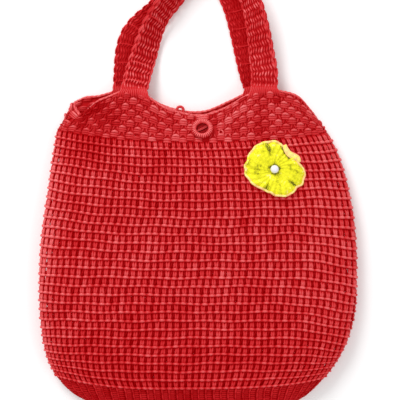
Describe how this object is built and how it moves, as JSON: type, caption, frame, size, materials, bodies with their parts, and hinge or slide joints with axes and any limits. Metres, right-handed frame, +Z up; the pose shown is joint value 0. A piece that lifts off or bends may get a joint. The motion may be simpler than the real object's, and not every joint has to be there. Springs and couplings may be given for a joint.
{
  "type": "mesh plastic handbag",
  "caption": "Crocheted cord handbag lying on its back, with an openwork body, ribbed base, dense wavy rim, strap handles, ring button, closing loop and a flower with a pearl.",
  "frame": {"origin": "on the surface the bag lies on, under the middle of its bounding box", "axes": "+X to the right across the front panel, +Y from the base towards the handles, +Z up from the surface, out of the front panel"},
  "size_m": [0.3396, 0.4894, 0.0461],
  "materials": {
    "red_cord": "glossy",
    "yellow_yarn": "matte",
    "pearl": "satin"
  },
  "bodies": {
    "root": {"base": "red_cord", "mesh_body": "red_cord", "yoke": "red_cord", "handle_front": "red_cord", "handle_back": "red_cord", "button": "red_cord", "button_tab": "red_cord", "closing_loop": "red_cord", "flower": "yellow_yarn", "flower_bead": "pearl"}
  },
  "joints": []
}
